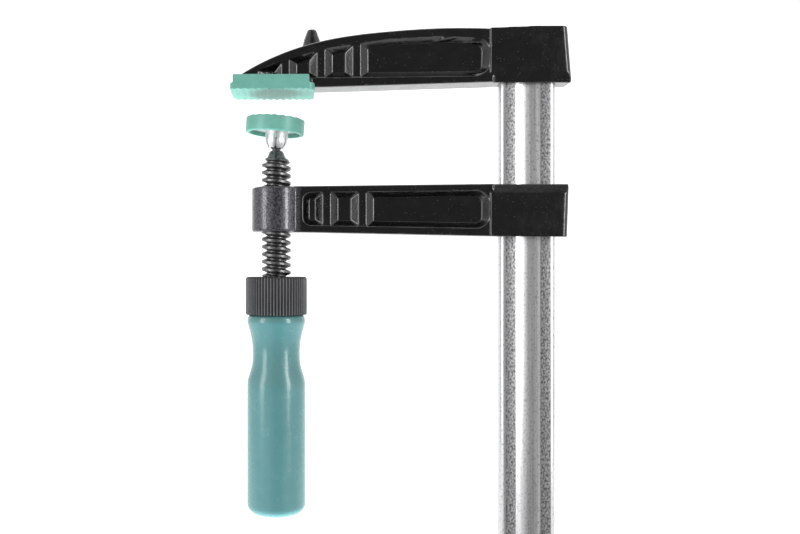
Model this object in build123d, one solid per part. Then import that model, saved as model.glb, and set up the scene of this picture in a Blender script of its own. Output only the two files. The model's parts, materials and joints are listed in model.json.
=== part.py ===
from build123d import *
import math
import os

# A one-handed-size F clamp: a cast fixed jaw on the top of a grooved steel rail, a cast arm
# that slides on the rail, and a screw spindle in the arm with a swivelling pressure plate
# above and a handle below.
#
# Frame, in millimetres: +Z up along the rail and the spindle, +X from the jaws to the rail.
# The origin is the point of the fixed jaw's clamping face on the spindle's axis.

# ---- Driving dimensions -------------------------------------------------------------------

THROAT = 120.0  # spindle axis to the rail's inner edge
CLEARANCE = 0.3  # gap between pieces that move past each other
RUNNING_FIT = 0.05  # radial gap between the ball and its ring

RAIL_WIDTH = 30.0
RAIL_THICKNESS = 8.0
RAIL_EDGE_RADIUS = 2.4
RAIL_GROOVE_WIDTH = 13.5
RAIL_GROOVE_DEPTH = 1.2
RAIL_TOP = 29.0
RAIL_BOTTOM = -310.0

STOP_PIN_RADIUS = 2.5
STOP_PIN_LENGTH = 15.0
STOP_PIN_HEIGHT = 7.0  # above the rail's lower end

ARM_HALF = 8.15  # half the thickness of both cast arms
ARM_EDGE_RADIUS = 1.0
BLOCK_HALF = 9.1  # half the thickness of the blocks round the rail
BLOCK_START = THROAT - 6.0
BEVEL_WIDTH = 3.0  # of the long bevel on each block's inner edge, across
BEVEL_HEIGHT = 5.5  # of the same bevel, upright
REAR_EDGE_RADIUS = 3.2

POCKET_DEPTH = 4.0
POCKET_SLOPE = 3.4  # width of a pocket's sloping wall
POCKET_CORNER = 4.5
POCKET_BLOCK_CORNER = 6.5  # of the two corners next to the block
RIB_PITCH = 19.0
RIB_BASE = 13.6
RIB_CREST = 3.8
RIB_TOP_BELOW_FACE = 0.6

NOSE_X = -19.2
FIXED_BLOCK_TOP = 34.8
FIXED_BLOCK_BOTTOM = 5.2
FOOT_LENGTH = 41.0
FOOT_HALF_WIDTH = 13.2
FOOT_BOTTOM = 2.4  # also the underside of the arm where it meets the foot
FOOT_TOP = 6.8
FOOT_CORNER = 1.8
NUB_X = 19.2
NUB_TOP = 34.9
NUB_TIP_ROUNDING = 1.2

CAP_CENTRE_X = -1.8
CAP_LENGTH = 44.6
CAP_WIDTH = 30.0
CAP_WALL = 1.8
CAP_END_HEIGHT = 3.7
CAP_SIDE_HEIGHT = 7.8
CAP_SIDE_LENGTH = 40.2
CAP_SIDE_CENTRE_X = -2.4
CAP_CORNER = 3.6
FACE_GROOVE_RADIUS = 1.6
FACE_GROOVE_DEPTH = 0.35
FACE_RIB_PITCH = 3.6
FACE_GROOVE_FIRST = -7  # groove number, counted in half pitches either side of the axis
FACE_GROOVE_LAST = 4

SLIDER_TOP = -48.8
SLIDER_BOTTOM = -77.2
SLIDER_TAPER = 1.4  # each edge closes in by this much towards the boss
SLIDER_REAR_X = 155.6
BOSS_RADIUS = 13.2
BOSS_TOP = -50.5
BOSS_BOTTOM = -74.4

THREAD_RADIUS = 7.85
ROOT_RADIUS = 5.3
THREAD_PITCH = 4.0
THREAD_TOP = -34.2
THREAD_BOTTOM = -98.5
TIP_CONE_TOP = -30.8
TIP_CONE_SMALL_RADIUS = 3.65
TIP_CONE_LARGE_RADIUS = 4.9
BALL_Z = -25.0
BALL_RADIUS = 4.2
BALL_NECK_RADIUS = 2.3
TANG_RADIUS = 6.0
TANG_FLAT = 4.6  # from the axis to each of the tang's two flats
TANG_BOTTOM = -172.0

PLATE_TILT = 4.0  # degrees about +Y, as the plate rests
PLATE_FACE = 11.7  # clamping face above the ball's centre
PLATE_CAP_RADIUS = 15.8
PLATE_OFFSET_X = -1.2  # of the plate and its cap from the neck's axis
PLATE_CAP_HEIGHT = 8.1
PLATE_CAP_WALL = 1.7
PLATE_CAP_ROOF = 2.4
PLATE_CAP_EDGE = 0.6
PLATE_CAP_LIP = 0.6  # how far the cap's lower lip reaches in under the plate
PLATE_RIB_PITCH = 4.0
PLATE_THICKNESS = 3.5
NECK_RADIUS = 6.1
NECK_BOTTOM = -4.1  # below the ball's centre
NECK_SLIT = 0.8
NECK_SLIT_TOP = 2.6
SOCKET_RADIUS = 5.3
SOCKET_STEP = 1.3
RING_OUTER = 5.0
RING_BOTTOM = -3.0
RING_SPLIT = 1.0

COLLAR_RADIUS = 16.5
COLLAR_HEIGHT = 20.3
COLLAR_RIBS = 60
COLLAR_RIB_DEPTH = 0.5
COLLAR_EDGE = 1.4

GRIP_RADIUS = 15.65
GRIP_TOP_RADIUS = 13.5
GRIP_WAIST_RADIUS = 12.5
GRIP_BOTTOM = -225.4
GRIP_END_RADIUS = 5.0

# ---- Shared helpers -----------------------------------------------------------------------

STANDING = (Align.CENTER, Align.CENTER, Align.MIN)
HANGING = (Align.CENTER, Align.CENTER, Align.MAX)


def side_plate(outline, half_thickness):
    """Give a side view, drawn with X across and Z up, an equal thickness on both sides."""
    return extrude(Plane.XZ * outline, amount=half_thickness, both=True)


def rail_section(gap=0.0):
    """The rail's section in XY: rounded edges and a shallow round hollow in each wide face."""
    middle = THROAT + RAIL_WIDTH / 2
    half = RAIL_THICKNESS / 2 + gap
    bar = Pos(middle, 0) * RectangleRounded(
        RAIL_WIDTH + 2 * gap, RAIL_THICKNESS + 2 * gap, RAIL_EDGE_RADIUS
    )
    if gap:
        return bar
    groove_half = RAIL_GROOVE_WIDTH / 2
    hollow = make_face(
        ThreePointArc(
            (middle - groove_half, half),
            (middle, half - RAIL_GROOVE_DEPTH),
            (middle + groove_half, half),
        )
        + Polyline(
            (middle + groove_half, half),
            (middle + groove_half, half + 1),
            (middle - groove_half, half + 1),
            (middle - groove_half, half),
        )
    )
    return bar - hollow - mirror(hollow, about=Plane.XZ)


def rounded_arm(outline):
    """An arm's plain plate, with the long edges of both side faces rounded."""
    plate = side_plate(outline, ARM_HALF)
    side_edges = plate.edges().filter_by(lambda edge: abs(edge.tangent_at(0.5).Y) < 0.5)
    return fillet(side_edges, ARM_EDGE_RADIUS)


def side_rib(x):
    """An upright rib with sloping flanks, on the near side of an arm."""
    floor = ARM_HALF - POCKET_DEPTH - 0.5
    crest = ARM_HALF - RIB_TOP_BELOW_FACE
    section = Polygon(
        (x - RIB_BASE / 2, -floor),
        (x - RIB_CREST / 2, -crest),
        (x + RIB_CREST / 2, -crest),
        (x + RIB_BASE / 2, -floor),
        align=None,
    )
    return extrude(section, amount=RAIL_TOP - SLIDER_BOTTOM + 20, both=True)


def side_pocket(outline, first_rib, rib_count):
    """A cutter for a ribbed pocket with sloping walls in both side faces of an arm."""
    slope = math.degrees(math.atan(POCKET_SLOPE / POCKET_DEPTH))
    mouth = Plane.XZ.offset(ARM_HALF) * outline
    cutter = extrude(mouth, amount=-POCKET_DEPTH, taper=slope)
    for number in range(rib_count):
        cutter -= side_rib(first_rib - number * RIB_PITCH)
    return cutter + mirror(cutter, about=Plane.XZ)


def rail_block(outline, z_low, z_high, bevel_at_top):
    """The thicker end of an arm, round the rail, with a long bevel on its inner edge."""
    flat = BLOCK_HALF - BEVEL_WIDTH
    if bevel_at_top:
        high_half, low_half = flat, BLOCK_HALF
        upper, lower = z_high - BEVEL_HEIGHT, z_low
    else:
        high_half, low_half = BLOCK_HALF, flat
        upper, lower = z_high, z_low + BEVEL_HEIGHT
    section = Polygon(
        (-low_half, z_low),
        (low_half, z_low),
        (BLOCK_HALF, lower),
        (BLOCK_HALF, upper),
        (high_half, z_high),
        (-high_half, z_high),
        (-BLOCK_HALF, upper),
        (-BLOCK_HALF, lower),
        align=None,
    )
    prism = extrude(Plane.YZ.offset(BLOCK_START) * section, amount=60)
    block = prism & side_plate(outline, BLOCK_HALF)
    rear_edges = block.faces().sort_by(Axis.X)[-1].edges().filter_by(
        lambda edge: abs(edge.tangent_at(0.5).Z) > 0.9
    )
    return fillet(rear_edges, REAR_EDGE_RADIUS)


def tang_section(radius=TANG_RADIUS):
    """A round bar with two flats, which keeps the handle from turning on the spindle."""
    return Circle(radius) & Rectangle(2 * radius, 2 * TANG_FLAT)


# ---- Fixed side ---------------------------------------------------------------------------


def plain_rail():
    """The rail's bar, before the stop pin's hole is made."""
    return Pos(0, 0, RAIL_BOTTOM) * extrude(rail_section(), amount=RAIL_TOP - RAIL_BOTTOM)


def make_rail():
    """The grooved bar, with the hole that the stop pin is pressed into."""
    return plain_rail() - make_rail_stop_pin()


def make_rail_stop_pin():
    """A pin pressed through the rail that keeps the sliding arm from leaving it."""
    pin = Cylinder(STOP_PIN_RADIUS, STOP_PIN_LENGTH, rotation=(90, 0, 0))
    pin = chamfer(pin.edges().filter_by(GeomType.CIRCLE), 0.5)
    return Pos(THROAT + RAIL_WIDTH / 2, 0, RAIL_BOTTOM + STOP_PIN_HEIGHT) * pin


def make_fixed_jaw():
    """The cast fixed arm, from the foot inside the jaw cap to the block round the rail."""
    back = Spline(
        (NOSE_X, 9.0), (2, 20.0), (24, 27.0), (60, 32.2), (90, 34.0), (BLOCK_START, 33.8)
    )
    outline = make_face(
        back
        + Polyline(
            (BLOCK_START, 33.8),
            (138, FIXED_BLOCK_TOP),
            (155.2, FIXED_BLOCK_TOP),
            (157.5, FIXED_BLOCK_BOTTOM),
            (BLOCK_START, FIXED_BLOCK_BOTTOM),
            (24, FOOT_BOTTOM),
            (NOSE_X, FOOT_BOTTOM),
            (NOSE_X, 9.0),
        )
    )
    arm_only = outline & Pos(BLOCK_START / 2 - 20, 20) * Rectangle(BLOCK_START + 44, 60)
    pocket = Polygon(
        (-10, 6.8),
        (113.2, 8.2),
        (113.6, 28.6),
        (90, 30.0),
        (60, 28.3),
        (24, 23.0),
        (2, 16.0),
        (-10, 11.0),
        align=None,
    )
    pocket = fillet(pocket.vertices().sort_by(Axis.X)[-2:], POCKET_BLOCK_CORNER)
    jaw = rounded_arm(arm_only) - side_pocket(pocket, first_rib=43.0, rib_count=3)
    jaw += rail_block(outline, FIXED_BLOCK_BOTTOM, FIXED_BLOCK_TOP, bevel_at_top=False)

    foot = Box(FOOT_LENGTH, 2 * FOOT_HALF_WIDTH, FOOT_TOP - FOOT_BOTTOM)
    foot = fillet(foot.edges().filter_by(Axis.Z), FOOT_CORNER)
    jaw += Pos(CAP_CENTRE_X, 0, (FOOT_TOP + FOOT_BOTTOM) / 2) * foot

    nub_profile = Polygon(
        (0, 21), (5.4, 21), (5.4, 25), (4.3, 29.5), (2.3, NUB_TOP), (0, NUB_TOP), align=None
    )
    nub = revolve(Plane.XZ * nub_profile, axis=Axis.Z)
    nub = fillet(nub.edges().sort_by(Axis.Z)[-1], NUB_TIP_ROUNDING)
    return jaw + Pos(NUB_X, 0, 0) * nub - plain_rail()


def make_fixed_jaw_cap():
    """The plastic jaw cover: a tray over the foot, with taller walls along the two sides."""
    tray = extrude(RectangleRounded(CAP_LENGTH, CAP_WIDTH, CAP_CORNER), amount=CAP_END_HEIGHT)
    side_y = CAP_WIDTH / 2 - CAP_WALL / 2
    for side in (-1, 1):
        wall = Box(CAP_SIDE_LENGTH, CAP_WALL, CAP_SIDE_HEIGHT, align=STANDING)
        tray += Pos(CAP_SIDE_CENTRE_X - CAP_CENTRE_X, side * side_y, 0) * wall
    foot = RectangleRounded(FOOT_LENGTH, 2 * FOOT_HALF_WIDTH, FOOT_CORNER)
    tray -= Pos(0, 0, FOOT_BOTTOM) * extrude(foot, amount=CAP_SIDE_HEIGHT)
    from_middle = (Align.MIN, Align.CENTER, Align.MIN)
    arm_notch = Box(CAP_LENGTH / 2, 2 * ARM_HALF, CAP_SIDE_HEIGHT, align=from_middle)
    tray -= Pos(0, 0, FOOT_BOTTOM) * arm_notch
    tray = Pos(CAP_CENTRE_X, 0, 0) * tray
    for number in range(FACE_GROOVE_FIRST, FACE_GROOVE_LAST + 1):
        x = (number + 0.5) * FACE_RIB_PITCH
        groove = Cylinder(FACE_GROOVE_RADIUS, CAP_WIDTH + 2, rotation=(90, 0, 0))
        tray -= Pos(x, 0, FACE_GROOVE_DEPTH - FACE_GROOVE_RADIUS) * groove
    return tray


# ---- Sliding arm --------------------------------------------------------------------------


def make_sliding_arm():
    """The cast arm: a block with a slot for the rail and a boss for the spindle."""
    outline = Polygon(
        (4, SLIDER_TOP - SLIDER_TAPER),
        (BLOCK_START, SLIDER_TOP - 0.1),
        (SLIDER_REAR_X + 0.5, SLIDER_TOP),
        (SLIDER_REAR_X - 0.5, SLIDER_BOTTOM),
        (BLOCK_START, SLIDER_BOTTOM + 0.3),
        (4, SLIDER_BOTTOM + SLIDER_TAPER + 1.2),
        align=None,
    )
    arm_only = outline & Pos(BLOCK_START / 2, -63) * Rectangle(BLOCK_START + 4, 60)
    pocket = Polygon((14.2, -71.3), (113.4, -72.9), (113.4, -52.2), (14.2, -53.2), align=None)
    by_x = pocket.vertices().sort_by(Axis.X)
    pocket = fillet(by_x[:2], POCKET_CORNER)
    pocket = fillet(pocket.vertices().sort_by(Axis.X)[-2:], POCKET_BLOCK_CORNER)
    arm = rounded_arm(arm_only) - side_pocket(pocket, first_rib=46.0, rib_count=2)
    arm += rail_block(outline, SLIDER_BOTTOM, SLIDER_TOP, bevel_at_top=True)

    boss_height = BOSS_TOP - BOSS_BOTTOM
    boss = chamfer(Cylinder(BOSS_RADIUS, boss_height).edges().filter_by(GeomType.CIRCLE), 0.8)
    arm += Pos(0, 0, (BOSS_TOP + BOSS_BOTTOM) / 2) * boss
    bore = Cylinder(THREAD_RADIUS + CLEARANCE, 2 * boss_height)
    arm -= Pos(0, 0, (BOSS_TOP + BOSS_BOTTOM) / 2) * bore
    slot = extrude(rail_section(gap=CLEARANCE), amount=2 * (SLIDER_TOP - SLIDER_BOTTOM))
    return arm - Pos(0, 0, SLIDER_BOTTOM - 10) * slot


# ---- Spindle and handle -------------------------------------------------------------------


def thread_outline():
    """The threaded length's edge, from the tip cone down: one rounded ridge for each pitch."""
    points = [(TIP_CONE_LARGE_RADIUS, THREAD_TOP), (ROOT_RADIUS, THREAD_TOP - 0.5)]
    crest_half = 0.5
    base_half = 1.6
    ridge = THREAD_TOP - THREAD_PITCH / 2
    while ridge - base_half > THREAD_BOTTOM:
        points += [
            (ROOT_RADIUS, ridge + base_half),
            (THREAD_RADIUS, ridge + crest_half),
            (THREAD_RADIUS, ridge - crest_half),
            (ROOT_RADIUS, ridge - base_half),
        ]
        ridge -= THREAD_PITCH
    return points + [(ROOT_RADIUS, THREAD_BOTTOM)]


def make_spindle():
    """Ball, neck, tip cone, threaded length and the tang that the handle is pressed on."""
    ball = Pos(0, 0, BALL_Z) * Sphere(BALL_RADIUS)
    core = Polygon(
        (0, BALL_Z),
        (BALL_NECK_RADIUS, BALL_Z),
        (BALL_NECK_RADIUS, TIP_CONE_TOP),
        (TIP_CONE_SMALL_RADIUS, TIP_CONE_TOP),
        *thread_outline(),
        (0, THREAD_BOTTOM),
        align=None,
    )
    tang_length = THREAD_BOTTOM - TANG_BOTTOM
    tang = Pos(0, 0, TANG_BOTTOM) * extrude(tang_section(), amount=tang_length)
    return ball + revolve(Plane.XZ * core, axis=Axis.Z) + tang


def make_handle_collar():
    """The finely ribbed ring at the handle's top, with a rounded upper edge."""
    steps = 4 * COLLAR_RIBS
    points = []
    for step in range(steps):
        angle = 2 * math.pi * step / steps
        radius = COLLAR_RADIUS - (COLLAR_RIB_DEPTH if step % 4 in (0, 1) else 0)
        points.append((radius * math.cos(angle), radius * math.sin(angle)))
    collar = extrude(Polygon(*points, align=None), amount=COLLAR_HEIGHT)
    blank = Cylinder(COLLAR_RADIUS, COLLAR_HEIGHT, align=STANDING)
    blank = fillet(blank.edges().filter_by(GeomType.CIRCLE).sort_by(Axis.Z)[-1], COLLAR_EDGE)
    collar = (collar & blank) - extrude(tang_section(), amount=COLLAR_HEIGHT)
    return Pos(0, 0, THREAD_BOTTOM - COLLAR_HEIGHT) * collar


def make_handle_grip():
    """The turned grip: a bulge and a waist under the collar, then a plain barrel."""
    top = THREAD_BOTTOM - COLLAR_HEIGHT
    shoulder = -155.5
    bulge = -122.4
    down = (0, -1)
    neck = Spline(
        (GRIP_TOP_RADIUS, top), (GRIP_RADIUS, bulge), tangents=[(1, -0.6), down]
    )
    waist = Spline(
        (GRIP_RADIUS, bulge),
        (GRIP_WAIST_RADIUS, -138.4),
        (GRIP_RADIUS, shoulder),
        tangents=[down, down],
    )
    corner = GRIP_RADIUS - GRIP_END_RADIUS
    barrel = Line((GRIP_RADIUS, shoulder), (GRIP_RADIUS, GRIP_BOTTOM + GRIP_END_RADIUS))
    end = RadiusArc(barrel @ 1, (corner, GRIP_BOTTOM), GRIP_END_RADIUS)
    closing = Polyline((corner, GRIP_BOTTOM), (0, GRIP_BOTTOM), (0, top), (GRIP_TOP_RADIUS, top))
    grip = revolve(Plane.XZ * make_face(neck + waist + barrel + end + closing), axis=Axis.Z)
    return grip - Pos(0, 0, TANG_BOTTOM) * extrude(tang_section(), amount=top - TANG_BOTTOM)


# ---- Swivelling pressure plate ------------------------------------------------------------


def at_ball(solid, tilt=0.0):
    """Place a piece drawn round the ball's centre, tilted about Y through that centre."""
    return Pos(0, 0, BALL_Z) * (Rot(0, tilt, 0) * solid)


def make_ball_retaining_ring():
    """A split ring with round faces that holds the ball's lower half in the neck."""
    shell = Sphere(RING_OUTER) - Sphere(BALL_RADIUS + RUNNING_FIT)
    band = Cylinder(RING_OUTER + 1, -RING_BOTTOM, align=HANGING)
    split = Box(20, RING_SPLIT, 20, align=(Align.MIN, Align.CENTER, Align.CENTER))
    return at_ball((shell & band) - split)


def make_pressure_plate():
    """The steel plate with a neck whose lower end is slit and closed round the ball."""
    face = PLATE_FACE - PLATE_CAP_ROOF
    disc = Cylinder(PLATE_CAP_RADIUS - PLATE_CAP_WALL, PLATE_THICKNESS, align=HANGING)
    neck = Cylinder(NECK_RADIUS, face - 1, align=STANDING)
    lower = Sphere(NECK_RADIUS) & Cylinder(NECK_RADIUS, -NECK_BOTTOM, align=HANGING)
    plate = Pos(PLATE_OFFSET_X, 0, face) * disc + neck + lower
    socket = Sphere(SOCKET_RADIUS) & Cylinder(SOCKET_RADIUS + 1, NECK_RADIUS, align=HANGING)
    step = Cylinder(SOCKET_RADIUS, SOCKET_STEP, align=STANDING)
    plate = plate - socket - step - Sphere(BALL_RADIUS + RUNNING_FIT)
    slit_height = NECK_SLIT_TOP - NECK_BOTTOM + 1
    slit = Box(3 * NECK_RADIUS, NECK_SLIT, slit_height, align=HANGING)
    for turn in range(3):
        plate -= Rot(0, 0, 60 * turn + 30) * (Pos(0, 0, NECK_SLIT_TOP) * slit)
    return at_ball(plate, PLATE_TILT)


def make_pressure_plate_cap():
    """The plastic cup over the plate, with a ribbed face and a lip that snaps under it."""
    low = PLATE_FACE - PLATE_CAP_HEIGHT
    cup = Cylinder(PLATE_CAP_RADIUS, PLATE_CAP_HEIGHT, align=STANDING)
    cup = fillet(cup.edges().filter_by(GeomType.CIRCLE), PLATE_CAP_EDGE)
    lip_radius = PLATE_CAP_RADIUS - PLATE_CAP_WALL - PLATE_CAP_LIP
    plate_bottom = PLATE_CAP_HEIGHT - PLATE_CAP_ROOF - PLATE_THICKNESS
    hollow = Cylinder(PLATE_CAP_RADIUS - PLATE_CAP_WALL, PLATE_THICKNESS, align=STANDING)
    mouth = Cylinder(lip_radius, plate_bottom, align=STANDING)
    cup = cup - Pos(0, 0, plate_bottom) * hollow - mouth
    groove_count = 8
    for number in range(groove_count):
        x = (number - (groove_count - 1) / 2) * PLATE_RIB_PITCH
        groove = Cylinder(FACE_GROOVE_RADIUS, 2 * PLATE_CAP_RADIUS + 2, rotation=(90, 0, 0))
        cup -= Pos(x, 0, PLATE_CAP_HEIGHT - FACE_GROOVE_DEPTH + FACE_GROOVE_RADIUS) * groove
    return at_ball(Pos(PLATE_OFFSET_X, 0, low) * cup, PLATE_TILT)


# ---- Build --------------------------------------------------------------------------------

PARTS = {
    "rail": make_rail,
    "rail_stop_pin": make_rail_stop_pin,
    "fixed_jaw": make_fixed_jaw,
    "fixed_jaw_cap": make_fixed_jaw_cap,
    "sliding_arm": make_sliding_arm,
    "spindle": make_spindle,
    "ball_retaining_ring": make_ball_retaining_ring,
    "pressure_plate": make_pressure_plate,
    "pressure_plate_cap": make_pressure_plate_cap,
    "handle_collar": make_handle_collar,
    "handle_grip": make_handle_grip,
}

os.makedirs("parts", exist_ok=True)
for name, make in PARTS.items():
    export_step(make(), f"parts/{name}.step")
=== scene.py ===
import json
import math

import bmesh
import bpy
import numpy as np
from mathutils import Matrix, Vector


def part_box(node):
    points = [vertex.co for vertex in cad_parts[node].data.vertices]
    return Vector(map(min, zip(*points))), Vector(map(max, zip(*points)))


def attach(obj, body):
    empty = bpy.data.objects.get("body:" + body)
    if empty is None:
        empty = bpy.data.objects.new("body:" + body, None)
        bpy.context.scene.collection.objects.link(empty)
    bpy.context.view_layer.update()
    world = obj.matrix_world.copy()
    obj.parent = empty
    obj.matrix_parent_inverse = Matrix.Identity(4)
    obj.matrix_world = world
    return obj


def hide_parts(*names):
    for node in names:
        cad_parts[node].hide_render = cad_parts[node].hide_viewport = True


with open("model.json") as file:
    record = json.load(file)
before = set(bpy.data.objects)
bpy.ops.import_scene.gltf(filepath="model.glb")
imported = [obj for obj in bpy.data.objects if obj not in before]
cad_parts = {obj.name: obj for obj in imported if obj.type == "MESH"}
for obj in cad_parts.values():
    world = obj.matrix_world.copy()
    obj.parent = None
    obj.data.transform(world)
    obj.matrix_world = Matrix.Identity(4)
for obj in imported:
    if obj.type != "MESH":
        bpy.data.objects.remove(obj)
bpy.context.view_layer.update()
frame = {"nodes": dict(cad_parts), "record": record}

# The looks of an F clamp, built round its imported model. Lengths are in metres; MM turns
# millimetres into them. +Z is up along the rail and the spindle, +X runs from the jaws to the
# rail, and the origin is the point of the fixed jaw's clamping face on the spindle's axis.

MM = 0.001

# ---- Sizes read from the model ------------------------------------------------------------

RAIL_LOW, RAIL_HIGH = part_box("rail")
RAIL_MIDDLE = (RAIL_LOW.x + RAIL_HIGH.x) / 2
RAIL_HALF_WIDTH = (RAIL_HIGH.x - RAIL_LOW.x) / 2
RAIL_EDGE = 2.9 * MM  # radius of the rail's four rounded long edges
GROOVE_HALF_WIDTH, GROOVE_DEPTH = 6.6 * MM, 1.15 * MM  # of the hollow in each wide face
SPINDLE_LOW, SPINDLE_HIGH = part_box("spindle")
COLLAR_LOW, COLLAR_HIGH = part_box("handle_collar")
PLATE_CAP_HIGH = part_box("pressure_plate_cap")[1]
PLATE_OFFSET = -1.2 * MM  # of the plate's disc and cap from the neck's axis, before tilting
GRIP_LOW, GRIP_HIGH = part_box("handle_grip")
BALL_RADIUS = 4.2 * MM
BALL_Z = SPINDLE_HIGH.z - BALL_RADIUS
COUPLING = frame["record"]["behaviour"]["couplings"][0]
THREAD_LEAD = COUPLING["ratio"] * 2 * math.pi  # travel along +Z for one turn about +Z
THREAD_ROOT = 5.25 * MM
RIB_COUNT, RIB_DEPTH = 60, 0.8 * MM  # of the collar


# ---- Mesh helpers -------------------------------------------------------------------------


def add_object(name, vertices, faces, material, sharp_angle=35):
    """Make an object from points and faces, smooth except at edges sharper than the angle."""
    mesh = bpy.data.meshes.new(name)
    mesh.from_pydata([tuple(point) for point in vertices], [], faces)
    clean = bmesh.new()
    clean.from_mesh(mesh)
    bmesh.ops.recalc_face_normals(clean, faces=clean.faces)
    clean.to_mesh(mesh)
    clean.free()
    return finish_object(name, mesh, material, sharp_angle)


def finish_object(name, mesh, material, sharp_angle):
    """Give a mesh its material and smooth shading, and put it in the scene."""
    for polygon in mesh.polygons:
        polygon.use_smooth = True
    mesh.set_sharp_from_angle(angle=math.radians(sharp_angle))
    mesh.materials.clear()
    mesh.materials.append(material)
    piece = bpy.data.objects.new(name, mesh)
    bpy.context.scene.collection.objects.link(piece)
    return piece


def place(piece, body, node):
    """Let a piece ride on a body in the place of a node, and hide that node."""
    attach(piece, body)
    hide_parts(node)


def arc(centre, radius, start, end, steps):
    """Points on an arc between two angles in degrees, both ends included."""
    angles = np.radians(np.linspace(start, end, steps))
    return [(centre[0] + radius * math.cos(a), centre[1] + radius * math.sin(a)) for a in angles]


def ring_faces(rings, around, closed_rings=False):
    """Quads between rings of points; the last ring joins the first if they close up."""
    faces = []
    last = rings if closed_rings else rings - 1
    for ring in range(last):
        for step in range(around):
            a = ring * around + step
            b = ring * around + (step + 1) % around
            up = (ring + 1) % rings * around - ring * around
            faces.append((a, b, b + up, a + up))
    return faces


def turned(profile, around, radius_change=None, height_change=None):
    """Turn a profile of (radius, height) points round Z. A profile that starts and ends on the
    axis is closed there, and any other has its two ends joined to each other, as in a ring."""
    on_axis = 1e-9
    solid = profile[0][0] < on_axis and profile[-1][0] < on_axis
    inner = profile[1:-1] if solid else profile
    angles = np.linspace(0, 2 * math.pi, around, endpoint=False)
    vertices = []
    for radius, height in inner:
        for angle in angles:
            r = radius + (radius_change(radius, height, angle) if radius_change else 0)
            x, y = r * math.cos(angle), r * math.sin(angle)
            z = height + (height_change(x, y, radius, height) if height_change else 0)
            vertices.append((x, y, z))
    faces = ring_faces(len(inner), around, closed_rings=not solid)
    if solid:
        for (radius, height), first in ((profile[0], 0), (profile[-1], (len(inner) - 1) * around)):
            centre = len(vertices)
            lift = height_change(0, 0, radius, height) if height_change else 0
            vertices.append((0, 0, height + lift))
            for step in range(around):
                faces.append((first + step, first + (step + 1) % around, centre))
    return np.array(vertices), faces


def softened_copy(name, node, voxel, rounds, material):
    """A copy of a node's solid as a fine, even mesh, with its edges worn round as if cast."""
    weld_distance, sharp_angle = 1e-7, 60
    mesh = frame["nodes"][node].data.copy()
    joined = bmesh.new()
    joined.from_mesh(mesh)
    bmesh.ops.remove_doubles(joined, verts=joined.verts, dist=weld_distance)
    joined.to_mesh(mesh)
    joined.free()
    source = bpy.data.objects.new(name + "_source", mesh)
    bpy.context.scene.collection.objects.link(source)
    remesh = source.modifiers.new("even", "REMESH")
    remesh.mode = "VOXEL"
    remesh.voxel_size = voxel * 1
    smooth = source.modifiers.new("soft", "SMOOTH")
    smooth.factor = 0.5
    smooth.iterations = rounds
    depsgraph = bpy.context.evaluated_depsgraph_get()
    result = bpy.data.meshes.new_from_object(source.evaluated_get(depsgraph))
    result.name = name
    bpy.data.objects.remove(source)
    return finish_object(name, result, material, sharp_angle)


# ---- Material helpers ---------------------------------------------------------------------


# Places of the Mix node's sockets: its names repeat for each kind of value.
NUMBER_A, NUMBER_B, NUMBER_RESULT = 2, 3, 0
COLOUR_A, COLOUR_B, COLOUR_RESULT = 6, 7, 2


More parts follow.
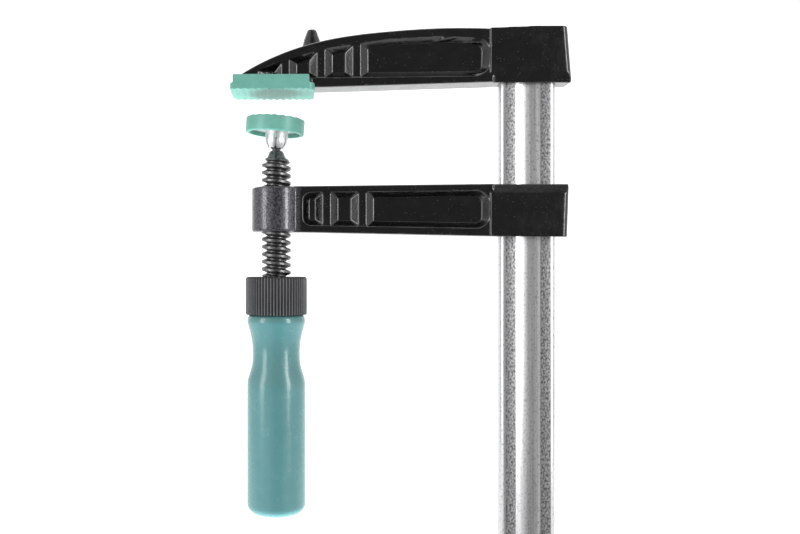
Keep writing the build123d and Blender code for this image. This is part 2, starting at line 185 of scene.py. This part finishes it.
class Look:
    """One procedural material: its shader, and short ways to add patterns to it."""

    def __init__(self, name, colour, roughness, metallic=0.0, **sockets):
        self.material = bpy.data.materials.new(name)
        self.material.use_nodes = True
        self.nodes = self.material.node_tree.nodes
        self.links = self.material.node_tree.links
        self.shader = self.nodes["Principled BSDF"]
        self.shader.inputs["Base Color"].default_value = (*colour, 1)
        self.shader.inputs["Roughness"].default_value = roughness
        self.shader.inputs["Metallic"].default_value = metallic
        for socket, value in sockets.items():
            self.shader.inputs[socket.replace("_", " ")].default_value = value
        self.place = self.nodes.new("ShaderNodeTexCoord").outputs["Object"]
        self.height = None

    def stretched(self, scale):
        """The place on the object, scaled along each axis."""
        mapping = self.nodes.new("ShaderNodeMapping")
        mapping.inputs["Scale"].default_value = scale
        self.links.new(self.place, mapping.inputs["Vector"])
        return mapping.outputs["Vector"]

    def noise(self, size, detail=3.0, roughness=0.55, stretch=(1, 1, 1)):
        """Noise whose blobs are about the given size across, in metres."""
        node = self.nodes.new("ShaderNodeTexNoise")
        node.inputs["Scale"].default_value = 1 / size
        node.inputs["Detail"].default_value = detail
        node.inputs["Roughness"].default_value = roughness
        self.links.new(self.stretched(stretch), node.inputs["Vector"])
        return node.outputs["Fac"]

    def spots(self, spacing):
        """Distance from scattered points, for specks and pits."""
        node = self.nodes.new("ShaderNodeTexVoronoi")
        node.inputs["Scale"].default_value = 1 / spacing
        self.links.new(self.place, node.inputs["Vector"])
        return node.outputs["Distance"]

    def span(self, value, low, high, to_low=0.0, to_high=1.0):
        """Stretch a value's range, clamped at both ends."""
        node = self.nodes.new("ShaderNodeMapRange")
        for socket, number in zip(("From Min", "From Max", "To Min", "To Max"),
                                  (low, high, to_low, to_high)):
            node.inputs[socket].default_value = number
        self.links.new(value, node.inputs["Value"])
        return node.outputs["Result"]

    def math(self, operation, first, second=0.0):
        """One step of arithmetic on one or two values, each a number or another node's output."""
        node = self.nodes.new("ShaderNodeMath")
        node.operation = operation
        for socket, value in zip(node.inputs, (first, second)):
            if isinstance(value, (int, float)):
                socket.default_value = value
            else:
                self.links.new(value, socket)
        return node.outputs["Value"]

    def blend(self, amount, first, second):
        """Mix two colours, each a tuple or another node's output."""
        node = self.nodes.new("ShaderNodeMix")
        node.data_type = "RGBA"
        self.links.new(amount, node.inputs["Factor"])
        for socket, value in ((node.inputs[COLOUR_A], first), (node.inputs[COLOUR_B], second)):
            if isinstance(value, tuple):
                socket.default_value = (*value, 1)
            else:
                self.links.new(value, socket)
        return node.outputs[COLOUR_RESULT]

    def axis(self, letter):
        """The place on the object along X, Y or Z."""
        node = self.nodes.new("ShaderNodeSeparateXYZ")
        self.links.new(self.place, node.inputs["Vector"])
        return node.outputs[letter]

    def worn_edges(self, low, high):
        """How sharply the surface turns outwards, from the mesh's own shape."""
        geometry = self.nodes.new("ShaderNodeNewGeometry")
        return self.span(geometry.outputs["Pointiness"], low, high)

    def bump(self, height, distance, strength=1.0):
        """Raise the surface by a pattern, on top of any bump added before."""
        node = self.nodes.new("ShaderNodeBump")
        node.inputs["Strength"].default_value = strength
        node.inputs["Distance"].default_value = distance
        self.links.new(height, node.inputs["Height"])
        if self.height is not None:
            self.links.new(self.height, node.inputs["Normal"])
        self.height = node.outputs["Normal"]

    def done(self, colour=None, roughness=None):
        """Join the patterns to the shader."""
        if colour is not None:
            self.links.new(colour, self.shader.inputs["Base Color"])
        if roughness is not None:
            self.links.new(roughness, self.shader.inputs["Roughness"])
        if self.height is not None:
            self.links.new(self.height, self.shader.inputs["Normal"])
        return self.material


def enamel():
    """Thick glossy black enamel over a casting: soft ripple, dust specks and rubbed spots.
    The spindle's boss is rubbed grey all round."""
    black = (0.0020, 0.0020, 0.0022)
    look = Look("black_enamel", black, 0.2, Coat_Weight=0.6, Coat_Roughness=0.09)
    ripple = look.noise(2.2 * MM, detail=2.0)
    grain = look.noise(0.6 * MM, detail=3.0)
    look.bump(ripple, 0.13 * MM)
    look.bump(grain, 0.03 * MM)
    cloudy = look.blend(look.span(grain, 0.45, 0.7), black, (0.0050, 0.0050, 0.0055))
    speck = look.span(look.spots(1.6 * MM), 0.17, 0.09)
    patches = look.span(look.noise(5 * MM), 0.46, 0.56)
    colour = look.blend(look.math("MULTIPLY", speck, patches), cloudy, (0.075, 0.075, 0.08))
    rubbed = look.math("MULTIPLY", look.worn_edges(0.515, 0.55),
                       look.span(look.noise(7 * MM, detail=4.0), 0.56, 0.66))
    colour = look.blend(look.math("MULTIPLY", rubbed, 0.7), colour, (0.22, 0.22, 0.225))
    near_spindle = look.span(look.axis("X"), 13.5 * MM, 11.5 * MM)
    below_fixed_jaw = look.span(look.axis("Z"), -40 * MM, -44 * MM)
    on_boss = look.math("MULTIPLY", near_spindle, below_fixed_jaw)
    rough_grey = look.blend(look.span(look.noise(0.9 * MM, detail=4.0, roughness=0.7), 0.4, 0.62),
                            (0.016, 0.016, 0.018), (0.13, 0.13, 0.145))
    colour = look.blend(on_boss, colour, rough_grey)
    roughness = look.span(look.noise(6 * MM), 0.3, 0.7, 0.12, 0.26)
    roughness = look.math("ADD", roughness, look.math("MULTIPLY", on_boss, 0.12))
    look.done(colour, roughness)
    look.links.new(look.math("MULTIPLY", on_boss, 0.55), look.shader.inputs["Metallic"])
    return look.material


def rail_steel():
    """Drawn bar: bright smooth hollow and edges, and speckled grey flats beside the hollow."""
    look = Look("rail_steel", (0.6, 0.6, 0.61), 0.3, metallic=1.0)
    across = look.math("ABSOLUTE", look.math("SUBTRACT", look.axis("X"), RAIL_MIDDLE))
    half_flat, fade = RAIL_HALF_WIDTH - RAIL_EDGE, 0.2 * MM
    past_groove = look.span(across, GROOVE_HALF_WIDTH - fade, GROOVE_HALF_WIDTH + fade)
    before_edge = look.span(across, half_flat + fade, half_flat - fade)
    flat = look.math("MULTIPLY", past_groove, before_edge)
    speckle = look.noise(1.0 * MM, detail=3.0, roughness=0.6, stretch=(1, 1, 0.7))
    streaks = look.noise(0.8 * MM, detail=3.0, stretch=(1, 1, 0.012))
    bright = look.blend(look.span(streaks, 0.35, 0.65), (0.62, 0.62, 0.625), (0.84, 0.84, 0.85))
    freckled = look.blend(look.span(speckle, 0.52, 0.70), bright, (0.44, 0.44, 0.44))
    grey = look.blend(look.span(speckle, 0.36, 0.64), (0.11, 0.11, 0.113), (0.54, 0.54, 0.545))
    colour = look.blend(flat, freckled, grey)
    roughness = look.span(flat, 0, 1, 0.36, 0.50)
    look.bump(speckle, 0.03 * MM, 0.5)
    return look.done(colour, roughness)


def rolled_steel():
    """Dark oiled steel, brighter on the thread's crests where it rubs."""
    look = Look("rolled_steel", (0.14, 0.14, 0.142), 0.34, metallic=1.0)
    mottle = look.noise(1.3 * MM, detail=4.0, roughness=0.65)
    fine = look.noise(0.3 * MM, detail=3.0)
    base = look.blend(look.span(mottle, 0.35, 0.65), (0.10, 0.10, 0.102), (0.23, 0.23, 0.23))
    rubbed = look.math("MULTIPLY", look.worn_edges(0.52, 0.62), look.span(fine, 0.3, 0.6))
    colour = look.blend(rubbed, base, (0.46, 0.455, 0.45))
    look.bump(fine, 0.02 * MM, 0.6)
    return look.done(colour, look.span(mottle, 0.3, 0.7, 0.28, 0.45))


def zinc_plate():
    """Bright zinc plating with faint clouding."""
    look = Look("zinc_plate", (0.8, 0.8, 0.82), 0.22, metallic=1.0)
    cloud = look.noise(1.5 * MM, detail=3.0)
    colour = look.blend(look.span(cloud, 0.3, 0.7), (0.78, 0.79, 0.81), (0.93, 0.94, 0.95))
    look.bump(look.noise(0.5 * MM), 0.02 * MM, 0.5)
    return look.done(colour, look.span(cloud, 0.3, 0.7, 0.42, 0.55))


def plain_steel():
    """Clouded grey steel for the pin and the ring."""
    look = Look("plain_steel", (0.5, 0.5, 0.51), 0.35, metallic=1.0)
    cloud = look.noise(0.8 * MM, detail=3.0)
    colour = look.blend(look.span(cloud, 0.3, 0.7), (0.42, 0.42, 0.43), (0.6, 0.6, 0.61))
    look.bump(cloud, 0.02 * MM, 0.5)
    return look.done(colour, look.span(cloud, 0.3, 0.7, 0.28, 0.45))


def moulded_plastic(name, dark, light, smooth, rough, grain):
    """Moulded plastic: slight clouding and a fine mould texture of the given grain."""
    look = Look(name, light, smooth)
    cloud = look.noise(5 * MM, detail=3.0)
    texture = look.noise(grain, detail=2.0)
    colour = look.blend(look.span(cloud, 0.35, 0.65), dark, light)
    look.bump(texture, 0.015 * MM, 0.6)
    return look.done(colour, look.span(texture, 0.3, 0.7, smooth, rough))


def ribbed_plastic_painted_shade():
    """Grey moulded plastic, painted near black in the grooves as shade and lighter on the ribs'
    crests as a painted highlight, mottled by dust.
    """
    look = Look("collar_grey_painted_shade", (0.04, 0.04, 0.042), 0.45)
    x, y = look.axis("X"), look.axis("Y")
    squared = look.math("ADD", look.math("MULTIPLY", x, x), look.math("MULTIPLY", y, y))
    inset = 0.05 * MM
    groove_radius, crest_radius = COLLAR_HIGH.x - RIB_DEPTH + inset, COLLAR_HIGH.x - inset
    height = look.span(look.math("SQRT", squared), groove_radius, crest_radius)
    dust = look.span(look.noise(0.8 * MM, detail=3.0), 0.35, 0.65, 0.7, 1.0)
    # Painted light: the colour runs from painted shade in the grooves to a painted highlight on the
    # crests, and real dust mottles it.
    dark, light = (0.006, 0.006, 0.0065), (0.17, 0.17, 0.175)
    colour = look.blend(look.math("MULTIPLY", height, dust), dark, light)
    look.bump(look.noise(0.3 * MM, detail=2.0), 0.015 * MM, 0.6)
    return look.done(colour, look.span(dust, 0.7, 1.0, 0.38, 0.52))


def lacquer():
    """Glossy blue-green lacquer with a slight ripple, tiny dust nibs and faint scuffs."""
    look = Look("grip_lacquer", (0.106, 0.283, 0.292), 0.24, Coat_Weight=0.3, Coat_Roughness=0.12)
    cloud = look.noise(9 * MM, detail=3.0)
    scuff = look.span(look.noise(0.7 * MM, detail=3.0, stretch=(1, 1, 0.25)), 0.66, 0.74)
    colour = look.blend(look.span(cloud, 0.3, 0.7), (0.101, 0.274, 0.283), (0.112, 0.292, 0.300))
    colour = look.blend(look.math("MULTIPLY", scuff, 0.35), colour, (0.32, 0.52, 0.51))
    look.bump(look.noise(3.5 * MM, detail=1.0), 0.03 * MM)
    look.bump(look.span(look.spots(2.6 * MM), 0.1, 0.0), 0.02 * MM)
    return look.done(colour, look.span(cloud, 0.3, 0.7, 0.20, 0.30))


# ---- Pieces -------------------------------------------------------------------------------


def make_rail(material):
    """The bar: round-edged flanges either side of a shallow hollow, on both wide faces."""
    middle, half_width, edge = RAIL_MIDDLE, RAIL_HALF_WIDTH, RAIL_EDGE
    half_thick = (RAIL_HIGH.y - RAIL_LOW.y) / 2
    groove_radius = (GROOVE_HALF_WIDTH**2 + GROOVE_DEPTH**2) / (2 * GROOVE_DEPTH)
    sweep = math.degrees(math.asin(GROOVE_HALF_WIDTH / groove_radius))
    hollow_centre = (middle, -half_thick - groove_radius + GROOVE_DEPTH)
    front = arc(hollow_centre, groove_radius, 90 + sweep, 90 - sweep, 25)
    right = arc((middle + half_width - edge, -half_thick + edge), edge, -90, 0, 8)
    left = arc((middle - half_width + edge, -half_thick + edge), edge, 180, 270, 8)
    near_side = left + front + right
    section = near_side + [(x, -y) for x, y in reversed(near_side)]
    bevel = 0.5 * MM
    levels = ((RAIL_LOW.z, bevel), (RAIL_LOW.z + bevel, 0), (RAIL_HIGH.z - bevel, 0),
              (RAIL_HIGH.z, bevel))
    rings = []
    for z, inset in levels:
        shrink_x = 1 - inset / half_width
        shrink_y = 1 - inset / half_thick
        rings += [(middle + (x - middle) * shrink_x, y * shrink_y, z) for x, y in section]
    count = len(section)
    faces = ring_faces(len(levels), count)
    faces.append(tuple(range(count)))
    faces.append(tuple(range(len(rings) - count, len(rings))))
    place(add_object("rail_bar", rings, faces, material, 30), "frame", "rail")


def thread_radius(height, angle, top, bottom):
    """Radius of the rolled thread: round ridges that climb by one lead in each turn."""
    pitch = abs(THREAD_LEAD)
    turn = (top - height + THREAD_LEAD * angle / (2 * math.pi)) / pitch
    off_ridge = abs((turn % 1.0) - 0.5) * pitch
    crest_half, root_half = 0.6 * MM, 1.75 * MM
    slope = min(max((root_half - off_ridge) / (root_half - crest_half), 0), 1)
    rise = slope * slope * (3 - 2 * slope) * 0.6 + slope * 0.4
    lead_in_length, run_out_length = 3.5 * MM, 1.2 * MM
    lead_in = min(max((top - height) / lead_in_length, 0), 1)
    run_out = min(max((height - bottom) / run_out_length, 0), 1)
    ridge_height = SPINDLE_HIGH.x - THREAD_ROOT
    return THREAD_ROOT + ridge_height * rise * lead_in**0.6 * run_out**0.5


def make_spindle(material):
    """One piece of steel: ball, neck, tip cone, rolled thread and the tang in the handle."""
    thread_top = BALL_Z - 9.2 * MM
    thread_bottom = COLLAR_HIGH.z - 0.5 * MM
    cone_top = BALL_Z - 5.8 * MM
    neck = 2.3 * MM
    neck_angle = math.degrees(math.acos(neck / BALL_RADIUS))
    profile = [(0, BALL_Z + BALL_RADIUS)]
    profile += arc((0, BALL_Z), BALL_RADIUS, 86, -neck_angle, 24)
    profile += [
        (neck, cone_top + 0.4 * MM),
        (neck + 0.3 * MM, cone_top),
        (3.4 * MM, cone_top),
        (3.65 * MM, cone_top - 0.25 * MM),
        (4.9 * MM, thread_top + 0.1 * MM),
    ]
    row_height = 0.2 * MM
    rows = int((thread_top - thread_bottom) / row_height)
    profile += [(THREAD_ROOT, z) for z in np.linspace(thread_top, thread_bottom, rows)]
    tang = 5.2 * MM
    profile += [(tang, thread_bottom - 0.3 * MM), (tang, SPINDLE_LOW.z + 1 * MM)]
    profile += [(tang - 1 * MM, SPINDLE_LOW.z), (0, SPINDLE_LOW.z)]

    def ridge(radius, height, angle):
        if thread_bottom <= height <= thread_top:
            return thread_radius(height, angle, thread_top, thread_bottom) - radius
        return 0

    vertices, faces = turned(profile, 96, radius_change=ridge)
    place(add_object("spindle_screw", vertices, faces, material, 50), "spindle", "spindle")


def make_collar(material):
    """Moulded ring with sixty fine upright ribs and a rounded top edge."""
    outer = COLLAR_HIGH.x + 0.005 * MM
    edge = 1.5 * MM
    top, low = COLLAR_HIGH.z, COLLAR_LOW.z
    bore = 6.1 * MM
    profile = [(bore, top), (outer - edge - 0.4 * MM, top)]
    profile += arc((outer - edge, top - edge), edge, 84, 0, 9)
    profile += [(outer, low + 0.5 * MM), (outer - 0.4 * MM, low), (bore, low)]

    def ribbed(radius, height, angle):
        groove = 0.5 + 0.5 * math.cos(RIB_COUNT * angle)
        reach = min(max((radius - (outer - edge)) / (0.6 * edge), 0), 1)
        return -RIB_DEPTH * groove**0.7 * reach

    steps_per_rib = 14
    vertices, faces = turned(profile, RIB_COUNT * steps_per_rib, radius_change=ribbed)
    piece = add_object("collar_ribbed", vertices, faces, material, 40)
    place(piece, "spindle", "handle_collar")


def make_grip(material):
    """Turned grip: bulge and waist under the collar, a shoulder crease and a round end. The
    waist falls in quickly from the bulge and opens out late, close to the shoulder."""
    top, low, radius = GRIP_HIGH.z, GRIP_LOW.z, GRIP_HIGH.x
    bulge, waist, shoulder = top - 3.6 * MM, top - 20.6 * MM, top - 36.9 * MM
    neck_radius, waist_radius = 13.7 * MM, 12.7 * MM
    crease, end = 0.12 * MM, 5 * MM
    profile = [(0, top), (6 * MM, top), (neck_radius - 0.8 * MM, top)]
    for step in np.linspace(0, 1, 9):
        lift = math.sin(step * math.pi / 2)
        drop = 1 - math.cos(step * math.pi / 2)
        profile.append((neck_radius + (radius - neck_radius) * lift, top - drop * (top - bulge)))
    for step in np.linspace(0.03, 1, 24):
        swing = 0.5 + 0.5 * math.cos(math.pi * step**0.65)
        z = bulge + (waist - bulge) * step
        profile.append((waist_radius + (radius - waist_radius) * swing, z))
    for step in np.linspace(0.02, 1, 24):
        swing = 0.5 - 0.5 * math.cos(math.pi * step**1.5)
        z = waist + (shoulder - waist) * step
        profile.append((waist_radius + (radius - crease - waist_radius) * swing, z))
    profile += [(radius - crease / 3, shoulder - 0.35 * MM), (radius, shoulder - 0.9 * MM)]
    profile += [(radius, z) for z in np.linspace(shoulder - 3 * MM, low + end + 2 * MM, 16)]
    profile += arc((radius - end, low + end), end, 0, -90, 14)
    profile += [(3 * MM, low), (0, low)]
    vertices, faces = turned(profile, 160)
    place(add_object("grip_body", vertices, faces, material, 40), "spindle", "handle_grip")


def tilted(vertices):
    """Turn points drawn upright round the ball's centre to the plate's resting tilt."""
    face = next(m for m in frame["record"]["mounts"] if m["name"] == "plate_face")
    tilt = math.atan2(face["axis"][0], face["axis"][2])
    x, y, z = np.array(vertices).T
    return np.column_stack((x * math.cos(tilt) + z * math.sin(tilt), y,
                            z * math.cos(tilt) - x * math.sin(tilt) + BALL_Z))


def make_plate(material):
    """Steel plate with a neck whose six petals close round the ball."""
    disc = PLATE_CAP_HIGH.y - 1.75 * MM
    top, under = 9.3 * MM, 5.8 * MM
    socket_top, petal_top, petal_low = 5.4 * MM, 2.6 * MM, -4.1 * MM
    outer, inner = 6.1 * MM, 5.3 * MM
    soft = 0.4 * MM
    ball_seat = BALL_RADIUS + 0.05 * MM
    seat = arc((0, 0), ball_seat, 89.9, 20, 16)
    profile = [(0, top), (disc - soft, top), (disc, top - soft), (disc, under + soft),
               (disc - soft, under), (outer + 0.5 * MM, under), (outer, under - 0.5 * MM),
               (outer, petal_top - 0.2 * MM), (inner, petal_top - 0.2 * MM),
               (inner, 1.45 * MM)] + list(reversed(seat)) + [(0, ball_seat)]
    vertices, faces = turned(profile, 96)
    on_disc = np.hypot(vertices[:, 0], vertices[:, 1]) > outer + 1 * MM
    vertices[on_disc, 0] += PLATE_OFFSET
    vertices, faces = list(map(tuple, vertices)), list(faces)
    rows, columns, petals = 22, 13, 6
    for petal in range(petals):
        start = len(vertices)
        for skin in (0, 1):
            for row in range(rows):
                down = row / (rows - 1)
                z = petal_top + (petal_low - petal_top) * down
                closing = max(-z, 0) / -petal_low
                radius = outer - 2.0 * MM * closing**1.8
                radius -= skin * (0.75 - 0.1 * closing) * MM
                half = math.radians(180 / petals) - (0.32 + 0.25 * closing) * MM / radius
                for column in range(columns):
                    side = 2 * column / (columns - 1) - 1
                    rounding = 0.25 * MM * side**6 * (1 if skin == 0 else 0)
                    angle = math.radians(360 / petals * petal) + half * side
                    r = radius - rounding
                    vertices.append((r * math.cos(angle), r * math.sin(angle), z))

        def corner(skin, row, column):
            return start + (skin * rows + row) * columns + column

        for row in range(rows - 1):
            for column in range(columns - 1):
                for skin in (0, 1):
                    faces.append((corner(skin, row, column), corner(skin, row, column + 1),
                                  corner(skin, row + 1, column + 1), corner(skin, row + 1, column)))
            for column in (0, columns - 1):
                faces.append((corner(0, row, column), corner(0, row + 1, column),
                              corner(1, row + 1, column), corner(1, row, column)))
        for column in range(columns - 1):
            for row in (0, rows - 1):
                faces.append((corner(0, row, column), corner(0, row, column + 1),
                              corner(1, row, column + 1), corner(1, row, column)))
    piece = add_object("plate_steel", tilted(vertices), faces, material, 50)
    place(piece, "pressure_plate", "pressure_plate")


def make_plate_cap(material):
    """Round plastic cup with soft edges, a ribbed face and a snap lip."""
    radius, face, height = PLATE_CAP_HIGH.y, 11.7 * MM, 8.1 * MM
    low, roof, soft, rim = face - height, face - 2.4 * MM, 0.6 * MM, 0.7 * MM
    inside, lip = radius - 1.7 * MM, radius - 2.3 * MM
    rib_pitch, rib_depth = 4.0 * MM, 0.3 * MM
    flat = radius - soft
    profile = [(0, face)] + [(flat * step / 30, face) for step in range(1, 30)]
    profile += arc((flat, face - soft), soft, 90, 0, 8)
    profile += arc((radius - rim, low + rim), rim, 0, -90, 6)
    profile += [(lip, low), (lip, low + 2.2 * MM), (inside, low + 2.2 * MM), (inside, roof),
                (0, roof)]

    def grooved(x, y, across, height):
        on_face = min(max((height - (face - soft)) / soft, 0), 1)
        wave = 0.5 - 0.5 * math.cos(2 * math.pi * x / rib_pitch)
        return -rib_depth * wave**1.5 * on_face

    vertices, faces = turned(profile, 160, height_change=grooved)
    vertices[:, 0] += PLATE_OFFSET
    piece = add_object("plate_cover", tilted(vertices), faces, material, 50)
    place(piece, "pressure_plate", "pressure_plate_cap")


def make_castings(material):
    """Both enamelled castings."""
    for node, body in (("fixed_jaw", "frame"), ("sliding_arm", "sliding_arm")):
        place(softened_copy(node + "_casting", node, 0.45 * MM, 3, material), body, node)


def make_jaw_cover(material):
    """The ribbed plastic cover over the fixed jaw's foot."""
    piece = softened_copy("jaw_cover", "fixed_jaw_cap", 0.25 * MM, 2, material)
    place(piece, "frame", "fixed_jaw_cap")


# ---- Floor, light and camera --------------------------------------------------------------

FLOOR_Z = -0.7
TENT_WALL, TENT_OPENING = 0.85, 0.17  # brightness of the white walls and of the dim opening
# Where the opening starts to brighten and where it is as bright as the walls, as the X (right
# and left), Z (top) or Y (back) of the direction looked in.
TENT_OPENING_RIGHT = (0.30, 0.62)
TENT_OPENING_LEFT = (-0.15, -0.45)
TENT_OPENING_TOP = (0.80, 0.97)
TENT_OPENING_BACK = (-0.35, -0.05)
CAMERA_PLACE = (0.013, -0.460, -0.0932)
CAMERA_LENS, SENSOR_WIDTH = 38.3, 36.0  # in millimetres
CAMERA_SHIFT = 0.1245


def make_floor():
    """A pale floor, lower than the handle ever reaches, that curves up far behind the clamp."""
    width, front, back, bend, rise = 4.0, -0.16, 1.6, 0.8, 3.0
    path = [(front, FLOOR_Z), (back - bend, FLOOR_Z)]
    path += arc((back - bend, FLOOR_Z + bend), bend, -90, 0, 24)[1:]
    path.append((back, FLOOR_Z + rise))
    vertices = [(side * width / 2, y, z) for y, z in path for side in (-1, 1)]
    faces = [(2 * i, 2 * i + 1, 2 * i + 3, 2 * i + 2) for i in range(len(path) - 1)]
    look = Look("pale_floor", (0.86, 0.86, 0.86), 0.8, Emission_Strength=0.5)
    look.shader.inputs["Emission Color"].default_value = (1, 1, 1, 1)
    tone = look.blend(look.span(look.noise(0.4), 0.3, 0.7), (0.85, 0.85, 0.85), (0.87, 0.87, 0.87))
    add_object("studio_floor", vertices, faces, look.done(tone))


def make_light(name, place_at, aim, size, power):
    """A rectangular light that the camera doesn't see."""
    lamp = bpy.data.lights.new(name, "AREA")
    lamp.shape = "RECTANGLE"
    lamp.size, lamp.size_y = size
    lamp.energy = power
    holder = bpy.data.objects.new(name, lamp)
    holder.location = place_at
    direction = Vector(aim) - Vector(place_at)
    holder.rotation_euler = direction.to_track_quat("-Z", "Y").to_euler()
    holder.visible_camera = False
    bpy.context.scene.collection.objects.link(holder)
    return holder


def make_white_tent():
    """White walls all round, with a tall dim opening on the side that the clamp is seen from.
    Seen directly, all of it is plain white."""
    world = bpy.data.worlds.new("white_tent")
    world.use_nodes = True
    nodes, links = world.node_tree.nodes, world.node_tree.links
    direction = nodes.new("ShaderNodeSeparateXYZ")
    links.new(nodes.new("ShaderNodeTexCoord").outputs["Generated"], direction.inputs["Vector"])
    brightness = None
    for source, start, end in ((direction.outputs["X"], *TENT_OPENING_RIGHT),
                               (direction.outputs["X"], *TENT_OPENING_LEFT),
                               (direction.outputs["Z"], *TENT_OPENING_TOP),
                               (direction.outputs["Y"], *TENT_OPENING_BACK)):
        edge = nodes.new("ShaderNodeMapRange")
        edge.interpolation_type = "SMOOTHSTEP"
        edge.inputs["From Min"].default_value = start
        edge.inputs["From Max"].default_value = end
        edge.inputs["To Min"].default_value = TENT_OPENING
        edge.inputs["To Max"].default_value = TENT_WALL
        links.new(source, edge.inputs["Value"])
        if brightness is None:
            brightness = edge.outputs["Result"]
            continue
        brighter = nodes.new("ShaderNodeMath")
        brighter.operation = "MAXIMUM"
        links.new(brightness, brighter.inputs[0])
        links.new(edge.outputs["Result"], brighter.inputs[1])
        brightness = brighter.outputs["Value"]
    seen = nodes.new("ShaderNodeMix")
    links.new(nodes.new("ShaderNodeLightPath").outputs["Is Camera Ray"], seen.inputs["Factor"])
    links.new(brightness, seen.inputs[NUMBER_A])
    seen.inputs[NUMBER_B].default_value = 1.0
    background = nodes["Background"]
    background.inputs["Color"].default_value = (1, 1, 1, 1)
    links.new(seen.outputs[NUMBER_RESULT], background.inputs["Strength"])
    bpy.context.scene.world = world


def make_studio():
    """Two tall strips that show only as reflections, a soft box above, and two that only fill
    in the shade, all aimed at the clamp's upper part."""
    middle, strip_height = (0.04, 0.0, -0.1), 0.7
    for name, place_at, width, power in (
        ("strip_left", (-0.62, -0.42, 0.05), 0.26, 2.4),
        ("strip_right", (0.64, -0.52, 0.05), 0.18, 3.4),
    ):
        strip = make_light(name, place_at, middle, (width, strip_height), power)
        strip.visible_diffuse = False
    make_light("softbox_top", (0.07, 0.1, 0.75), middle, (0.9, 0.6), 2.0)
    low = make_light("softbox_low", (0.03, 0.02, FLOOR_Z + 0.01), middle, (0.7, 0.34), 9.0)
    low.data.color = (0.80, 0.94, 1.0)
    front = make_light("softbox_front", (0.05, -0.9, 0.15), middle, (0.8, 0.8), 3.6)
    for fill in (low, front):
        fill.visible_glossy = False
    make_white_tent()
    bpy.context.scene.view_settings.view_transform = "Standard"


def make_camera():
    """Level with the middle of the clamp's upper part, looking along +Y past the spindle."""
    data = bpy.data.cameras.new("camera")
    data.lens = CAMERA_LENS
    data.shift_x = CAMERA_SHIFT
    data.sensor_width = SENSOR_WIDTH
    data.clip_start = 0.01
    camera = bpy.data.objects.new("camera", data)
    camera.location = CAMERA_PLACE
    camera.rotation_euler = (math.pi / 2, 0, 0)
    bpy.context.scene.collection.objects.link(camera)
    bpy.context.scene.camera = camera


# ---- Build --------------------------------------------------------------------------------

STEEL = plain_steel()
COVER_GREEN = moulded_plastic(
    "cover_green", (0.138, 0.415, 0.335), (0.158, 0.450, 0.370), 0.32, 0.46, 0.35 * MM
)
make_camera()
make_castings(enamel())
make_jaw_cover(COVER_GREEN)
make_rail(rail_steel())
make_spindle(rolled_steel())
make_plate(zinc_plate())
make_plate_cap(COVER_GREEN)
make_collar(ribbed_plastic_painted_shade())
make_grip(lacquer())
for node in ("rail_stop_pin", "ball_retaining_ring"):
    for material_slot in frame["nodes"][node].material_slots:
        material_slot.material = STEEL
make_floor()
make_studio()
